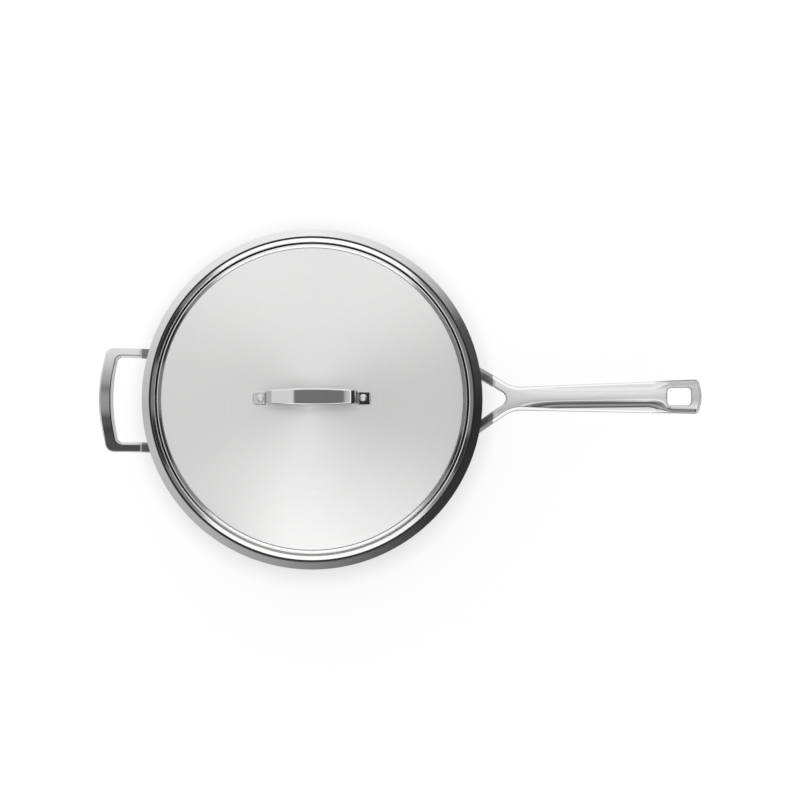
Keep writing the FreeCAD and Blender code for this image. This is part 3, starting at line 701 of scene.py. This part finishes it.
# Long handle: ribs from the middle line, the fork's inside or the hanging hole out to the outline. The top
# follows the strap, and along the grip it falls away to both sides by a power of the distance from the middle.
def buildLongHandle():
    fork = radians(handle["fork"])
    apex = handle["crotchX"] + handle["crotchRadius"] * (1.0 / sin(fork) - 1.0)
    rootX = pan["outerRadius"] - handle["arm"]
    innerY = (apex - rootX) * tan(fork)
    outerY = innerY + handle["arm"] / cos(fork)
    slope = radians(handle["endSlope"])
    peak = handle["tip"] + handle["endRadius"] * (1.0 / cos(slope) - 1.0)
    endY = handle["endWidth"] / 2.0
    endX = peak - endY * tan(slope)
    outline = roundedLine([
        (rootX, outerY, 0.0), (handle["neckX"], handle["neckWidth"] / 2.0, handle["neckBlend"]),
        (endX, endY, handle["corner"]), (peak, 0.0, handle["endRadius"]), (endX, -endY, 0.0)])
    crotch = roundedLine([(rootX, innerY, 0.0), (apex, 0.0, handle["crotchRadius"]), (rootX, -innerY, 0.0)])
    holeStart, holeEnd = handle["hole"]
    holeY = handle["holeWidth"] / 2.0
    hole = roundedLine([(holeStart, 0.0, 0.0), (holeStart, holeY, handle["holeCorner"]),
                        (holeEnd, holeY, handle["holeCorner"]), (holeEnd, 0.0, 0.0)])

    bend = radians(handle["rootRise"] - handle["neckRise"]) / 2.0
    bendReach = handle["bend"] * tan(bend)
    rise = radians(handle["rootRise"])
    startX = rootX - 3.0 * handle["arm"]  # well inside the wall
    run = (handle["shoulderX"] - startX) / cos(rise)
    gripStart = handle["shoulderX"] + bendReach * cos(radians(handle["neckRise"]))
    gripRun = peak + handle["pathSpare"] - gripStart
    gripRadius = gripRun / (sin(radians(handle["neckRise"])) - sin(radians(handle["tipRise"])))
    path = tracePath((startX, handle["shoulderZ"] - run * sin(rise)), handle["rootRise"], [
        (run - bendReach,), (handle["bend"], handle["neckRise"] - handle["rootRise"]),
        (gripRadius, handle["tipRise"] - handle["neckRise"])], turnStep=0.1)
    sheet = strapHeight(path, handle["crown"])
    depth = uprightThickness(sheet, handle["thickness"], handle["deepest"])

    def grip(x):
        return smoothStep(x, *handle["gripStart"]) * (1.0 - smoothStep(x, *handle["gripEnd"]))

    def top(x, y):
        fallen = sheet(x, 0.0 * y) - handle["gripFall"] * np.abs(y) ** handle["gripPower"]
        return sheet(x, y) * (1.0 - grip(x)) + fallen * grip(x)

    def low(x, y):
        belly = sheet(x, 0.0 * y) - handle["gripDepth"] + handle["belly"] * y ** 2
        return (sheet(x, y) - depth(x, y)) * (1.0 - grip(x)) + belly * grip(x)

    outRoot, inRoot = [lengthAt(line, np.linalg.norm(line, axis=1), handle["rootRadius"])
                       for line in (outline, crotch)]
    marks = [lengthAt(outline, outline[:, 0], x) for x in handle["ribMarks"]]
    marks = [outRoot, *marks, lengths(outline)[-1]]
    brightRows = smoothStep(np.arange(edgeForm["rows"] - 1), *handle["tipBright"])[:, None]
    grids = []
    for part, count in enumerate(handle["ribCounts"]):
        outer, outerWay = spread(outline, marks[part], marks[part + 1], count)
        outerWay = -outerWay  # into the metal, to the right of the outline
        neck = 1.0 - smoothStep(outer[:, 0], *handle["gripStart"])
        end = smoothStep(outer[:, 0], *handle["gripEnd"])
        sideEdge = handle["gripEdge"] + (handle["tipEdge"] - handle["gripEdge"]) * end * outerWay[:, 1] ** 2
        edge = sideEdge + (handle["edge"] - handle["gripEdge"]) * neck
        if part == 0:
            inner, innerWay = spread(crotch, inRoot, lengths(crotch)[-1], count)
            innerRound = handle["innerEdge"]
            inner[-1, 1], innerWay[-1] = 0.0, (1.0, 0.0)
        elif part == 2:
            inner, innerWay = spread(hole, 0.0, lengths(hole)[-1], count)
            innerRound = handle["holeEdge"]
            innerWay[0], innerWay[-1] = (-1.0, 0.0), (1.0, 0.0)
        else:
            ends = {1: (handle["crotchX"] + handle["innerEdge"], holeStart - handle["holeEdge"]),
                    3: (holeEnd + handle["holeEdge"], handle["tip"] - handle["gripEdge"])}[part]
            inner = np.stack([np.linspace(*ends, count), np.zeros(count)], 1)
            innerWay, innerRound = np.zeros((count, 2)), 0.0
        if part == 3:
            outer[-1], outerWay[-1] = (handle["tip"], 0.0), (-1.0, 0.0)
        draft = neck + end * (1.0 - outerWay[:, 1] ** 2)
        plan, drop = ribs(inner, innerWay, innerRound, 0.0, outer, outerWay, edge, draft)
        drop[1 - edgeForm["rows"]:] *= 1.0 - handle["tipFlat"] * end * outerWay[:, 1] ** 2
        fade = (1.0 + handle["tipDull"]) * end  # from a painted highlight along the grip's edge to somewhat darker and duller round the tip
        nearSide = 1.0 - brightRows * outerWay[:, 1] ** 2  # the near side keeps its painted highlight lower down its edge
        finish = [ribPaintedLight(plan[..., 0], handle["flatDull"] * end, 1.0 - fade * share, handle["paintedShadeX"])
                  for share in (1.0, nearSide)]
        grids += slabGrids(plan, drop, top, low, finish, innerRound > 0, part == 0)
    armMiddle = apex + handle["arm"] / 2.0 / sin(fork)
    back = armMiddle * cos(fork) - sqrt(footRadius ** 2 - (armMiddle * sin(fork)) ** 2)
    azimuth = atan2(back * sin(fork), armMiddle - back * cos(fork))
    for sign in (1.0, -1.0):
        grids += footGrids(sign * azimuth, handleFoot, sign)
    addPiece("longHandle", grids, handleSteel, "pan", ["long_handle"], crisp=50.0)


helper = {
    "reach": 184.79, "span": 90.0, "bar": 12.2, "arm": 8.4, "corner": 7.0, "bow": 12.0, "bowRadius": 136.0,
    "innerCorner": 4.0, "innerBow": 10.0, "innerBowRadius": 150.0, "thickness": 6.6, "deepest": 10.0,
    "crown": 120.0, "edge": 0.9, "innerEdge": 2.4, "shoulderX": 149.0, "shoulderZ": 65.4, "rootRise": 42.0,
    "barRise": 16.2, "bend": 4.0, "paintedShadeX": 148.6, "rootRadius": 139.9, "ribsAcross": 10,
    "ribCounts": (40, 50, 40),
    "outMarks": (168.0, 34.0), "inMarks": (158.0, 29.0),  # x where the corner starts, and length of half the bar
}
helperFoot = {"width": 15.0, "bottom": 23.0, "top": 52.0,
              "swell": 1.8, "swellShift": 0.0, "swellWidth": 5.0, "swellRise": (42.0, 50.0)}


# Helper handle: ribs from the finger gap out to the loop's outline, on a strap that bends up off the wall.
# It is worked out along +X and turned half round.
def buildHelper():
    outerY = helper["span"] / 2.0
    innerY = outerY - helper["arm"]
    rootX = pan["outerRadius"] - 2.0 * helper["arm"]
    bow, innerBow = radians(helper["bow"]), radians(helper["innerBow"])
    peak = helper["reach"] + helper["bowRadius"] * (1.0 / cos(bow) - 1.0)
    innerPeak = helper["reach"] - helper["bar"] + helper["innerBowRadius"] * (1.0 / cos(innerBow) - 1.0)
    cornerX = peak - outerY * tan(bow)
    innerX = innerPeak - innerY * tan(innerBow)
    outline = roundedLine([(rootX, outerY, 0.0), (cornerX, outerY, helper["corner"]),
                           (peak, 0.0, helper["bowRadius"]), (cornerX, -outerY, 0.0)])
    gap = roundedLine([(rootX, innerY, 0.0), (innerX, innerY, helper["innerCorner"]),
                       (innerPeak, 0.0, helper["innerBowRadius"]), (innerX, -innerY, 0.0)])

    bend = radians(helper["rootRise"] - helper["barRise"]) / 2.0
    bendReach = helper["bend"] * tan(bend)
    rise = radians(helper["rootRise"])
    startX = rootX - 2.0 * helper["arm"]
    run = (helper["shoulderX"] - startX) / cos(rise)
    barRun = (peak + helper["bar"] - helper["shoulderX"]) / cos(radians(helper["barRise"]))
    path = tracePath((startX, helper["shoulderZ"] - run * sin(rise)), helper["rootRise"], [
        (run - bendReach,), (helper["bend"], helper["barRise"] - helper["rootRise"]),
        (barRun - bendReach,)], turnStep=0.4)
    top = strapHeight(path, helper["crown"])
    depth = uprightThickness(top, helper["thickness"], helper["deepest"])

    def low(x, y):
        return top(x, y) - depth(x, y)

    def marks(line, armX, halfBar):
        root = lengthAt(line, np.linalg.norm(line, axis=1), helper["rootRadius"])
        return [root, lengthAt(line, line[:, 0], armX), lengths(line)[-1] - halfBar, lengths(line)[-1]]

    outMarks = marks(outline, *helper["outMarks"])
    inMarks = marks(gap, *helper["inMarks"])
    grids = []
    for part, count in enumerate(helper["ribCounts"]):
        outer, outerWay = spread(outline, outMarks[part], outMarks[part + 1], count)
        inner, innerWay = spread(gap, inMarks[part], inMarks[part + 1], count)
        outerWay = -outerWay
        if part == 2:
            outer[-1, 1], outerWay[-1] = 0.0, (-1.0, 0.0)
            inner[-1, 1], innerWay[-1] = 0.0, (1.0, 0.0)
        edge = np.full(count, helper["edge"])
        plan, drop = ribs(inner, innerWay, helper["innerEdge"], 1.0, outer, outerWay, edge, 0.0,
                          helper["ribsAcross"])
        finish = [ribPaintedLight(plan[..., 0], 0.0, 0.0, helper["paintedShadeX"])] * 2
        grids += slabGrids(plan, drop, top, low, finish, True, part == 0)
    azimuth = asin((helper["span"] - helper["arm"]) / 2.0 / footRadius)
    for sign in (1.0, -1.0):
        grids += footGrids(sign * azimuth, helperFoot, sign)
    grids = [grid * np.array([-1.0, -1.0, 1.0, 1.0])[:grid.shape[2]] for grid in grids]
    addPiece("helperHandle", grids, helperSteel, "pan", ["helper_handle"], crisp=50.0)


buildPan()
lidTop, lidBall = buildLid()
buildStrap(lidTop, lidBall)
buildLongHandle()
buildHelper()

# The rivets keep their solids and get their own finish.
for name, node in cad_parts.items():
    if "rivet" in name:
        for place in node.material_slots:
            place.material = rivetSteel
print("pieces made")


studio = {
    "frameWidth": 694.8, "target": (76.3, -0.9, 66.0), "elevation": 87.0, "turn": -0.15, "distance": 6000.0,
    "floorSize": 9000.0, "floorSteps": 9, "floorDrop": 0.4, "floorTone": 0.92, "floorGlow": 0.72,
    "floorWhite": 1.16, "contactReach": 27.0, "contactShade": 0.6,
    "walls": [  # share of a turn from -X over -Y, and brightness
        (0.0, 0.64), (0.04, 0.7), (0.125, 0.6), (0.208, 0.45), (0.25, 0.34), (0.29, 0.23), (0.333, 0.12),
        (0.375, 0.05), (0.5, 0.035), (0.583, 0.12), (0.625, 0.62), (0.667, 0.94), (0.75, 1.2), (0.875, 1.08),
        (0.96, 0.76), (1.0, 0.64)],
    # Every sixteenth of a turn: the frieze above the walls, the sine of the height where the ceiling starts, the
    # ceiling towards the walls, and the ceiling towards the crown overhead.
    "frieze": (0.36, 0.51, 0.38, 0.13, 0.19, 0.1, 0.1, 0.03, 0.02,
               0.11, 0.7, 1.25, 1.12, 0.88, 0.7, 0.6, 0.36),
    "eaves": (0.66, 0.66, 0.95, 0.84, 0.78, 0.82, 0.84, 0.89, 0.89,
              0.88, 0.82, 0.75, 0.65, 0.62, 0.78, 0.88, 0.66),
    "outer": (0.8, 0.6, 1.45, 1.93, 1.96, 1.94, 2.01, 1.94, 1.72,
              1.41, 1.23, 1.01, 0.92, 1.08, 1.02, 0.96, 0.8),
    "inner": (0.79, 1.08, 1.66, 1.37, 0.77, 0.4, 0.4, 0.4, 0.4,
              0.54, 0.86, 1.17, 1.19, 1.15, 0.86, 0.9, 0.79),
    "crown": 1.21, "friezeStart": (0.5, 0.62), "eavesBlur": 0.06, "innerStart": (0.001, 0.012),
    "outerStart": (0.018, 0.075),
    # The hood and the dark marks in it: place and half lengths along X and Y, on a plane one unit overhead.
    "hood": (0.0437, 0.0507, 0.189, 0.0769), "hoodBlur": 0.16, "hoodLight": 0.22, "planeLeast": 0.2,
    "hoodMarks": [(0.08, 0.01, 0.016, 0.022), (0.086, 0.08, 0.015, 0.019), (-0.107, 0.088, 0.013, 0.014)],
    "hoodMarkLight": 0.02, "hoodMarkBlur": (0.5, 1.3),
    "skirting": 0.62, "skirtingTop": (0.08, 0.42), "skirtingBack": (-0.2, 0.6),
    "ground": 0.9, "horizon": (-0.06, 0.02),
}


# Plain pale floor. Camera and glossy rays see part of it as white, darkened near the pan by a painted contact
# shadow from ambient occlusion, and the rest keeps the pan's shadow.
def buildFloor():
    half = studio["floorSize"] / 2.0 * mm
    count = studio["floorSteps"]
    steps = np.linspace(-half, half, count)
    x, y = np.meshgrid(steps, steps, indexing="ij")
    points = np.stack([x, y, np.full_like(x, -studio["floorDrop"] * mm)], -1).reshape(-1, 3)
    index = np.arange(count * count).reshape(count, count)
    quads = np.stack([index[:-1, :-1], index[1:, :-1], index[1:, 1:], index[:-1, 1:]], -1).reshape(-1, 4)
    mesh = bpy.data.meshes.new("floor")
    mesh.from_pydata(points.tolist(), [], quads.tolist())
    floor = bpy.data.objects.new("floor", mesh)
    bpy.context.scene.collection.objects.link(floor)
    material = bpy.data.materials.new("floorPaper")
    material.use_nodes = True
    tree = material.node_tree
    tree.nodes.clear()
    wire = Wire(tree)
    tone = studio["floorTone"]
    paper = wire.make("ShaderNodeBsdfDiffuse", {}, {"Color": (tone, tone, tone, 1)})
    contact = {"Distance": studio["contactReach"] * mm}
    openness = wire.make("ShaderNodeAmbientOcclusion", {"samples": 16}, contact, "AO")
    white = (1.0 - (1.0 - openness) * studio["contactShade"]) * studio["floorWhite"]
    glow = wire.make("ShaderNodeEmission", {}, {"Color": (1, 1, 1, 1), "Strength": white})
    seen = wire.make("ShaderNodeLightPath", {}, {}, "Is Camera Ray")
    glossy = wire.make("ShaderNodeLightPath", {}, {}, "Is Glossy Ray")
    share = wire.math("MAXIMUM", seen, glossy) * studio["floorGlow"]
    mixed = wire.make("ShaderNodeMixShader", {}, {0: share, 1: paper, 2: glow})
    output = tree.nodes.new("ShaderNodeOutputMaterial")
    tree.links.new(mixed.socket, output.inputs["Surface"])
    mesh.materials.append(material)


# Studio round the pan: walls, a frieze above them and a ceiling whose brightness goes round with the compass, a
# bright crown overhead with a small dark hood and darker marks in it, and dim skirting but behind (+Y).
def buildStudio():
    world = bpy.data.worlds.new("studio")
    bpy.context.scene.world = world
    world.use_nodes = True
    tree = world.node_tree
    tree.nodes.clear()
    wire = Wire(tree)
    way = wire.make("ShaderNodeTexCoord", {}, {}, "Generated")
    x, y, z = way.xyz()
    turn = wire.math("ARCTAN2", y, x) / (2.0 * pi) + 0.5  # 0 at -X, 0.25 at -Y, 0.5 at +X, 0.75 at +Y

    def compass(stops):
        return wire.make("ShaderNodeValToRGB", {"stops": stops}, {"Fac": turn})

    turns = np.linspace(0.0, 1.0, len(studio["frieze"])).tolist()
    walls = compass(studio["walls"])
    frieze, eaves, outer, inner = [
        compass(list(zip(turns, studio[key]))) for key in ("frieze", "eaves", "outer", "inner")]
    high = (z - eaves).step(-studio["eavesBlur"], studio["eavesBlur"])
    upper = z.step(*studio["friezeStart"])
    low, front = 1.0 - z.step(*studio["skirtingTop"]), 1.0 - y.step(*studio["skirtingBack"])
    skirting = low * front * studio["skirting"]
    overhead = wire.math("MAXIMUM", z, studio["planeLeast"])
    flatX, flatY = x / overhead, y / overhead

    def apart(midX, midY, halfX, halfY, power):
        return ((flatX - midX) / halfX) ** power + ((flatY - midY) / halfY) ** power

    hood = 1.0 - apart(*studio["hood"], 4.0).step(1.0 - studio["hoodBlur"], 1.0 + studio["hoodBlur"])
    near, far = (1.0 - z).step(*studio["innerStart"]), (1.0 - z).step(*studio["outerStart"])
    ceiling = (inner * near + (1.0 - near) * studio["crown"]) * (1.0 - far) + outer * far
    sides = walls * (1.0 - skirting) * (1.0 - upper) + frieze * upper
    light = sides * (1.0 - high) + ceiling * high
    light = light * (1.0 - hood) + hood * studio["hoodLight"]
    for place in studio["hoodMarks"]:
        mark = (1.0 - apart(*place, 2.0).step(*studio["hoodMarkBlur"])) * hood
        light = light * (1.0 - mark) + mark * studio["hoodMarkLight"]
    below = 1.0 - z.step(*studio["horizon"])
    light = light * (1.0 - below) + below * studio["ground"]
    seen = wire.make("ShaderNodeLightPath", {}, {}, "Is Camera Ray")
    strength = light * (1.0 - seen) + seen
    back = wire.make("ShaderNodeBackground", {}, {"Color": (1, 1, 1, 1), "Strength": strength})
    output = tree.nodes.new("ShaderNodeOutputWorld")
    tree.links.new(back.socket, output.inputs["Surface"])


# Long lens at the photograph's angle: almost straight down, leaning a little to the near side.
def buildCamera():
    data = bpy.data.cameras.new("camera")
    distance = studio["distance"] * mm
    data.lens = data.sensor_width * distance / (studio["frameWidth"] * mm)
    data.clip_end = 100.0
    camera = bpy.data.objects.new("camera", data)
    lean = radians(studio["elevation"])
    turn = radians(studio["turn"])
    target = np.array(studio["target"]) * mm
    away = np.array([cos(lean) * sin(turn), -cos(lean) * cos(turn), sin(lean)])
    camera.location = target + distance * away
    camera.rotation_euler = (pi / 2.0 - lean, 0.0, turn)
    bpy.context.scene.collection.objects.link(camera)
    bpy.context.scene.camera = camera


buildFloor()
buildStudio()
buildCamera()
bpy.context.scene.view_settings.view_transform = "Standard"
print("studio ready")
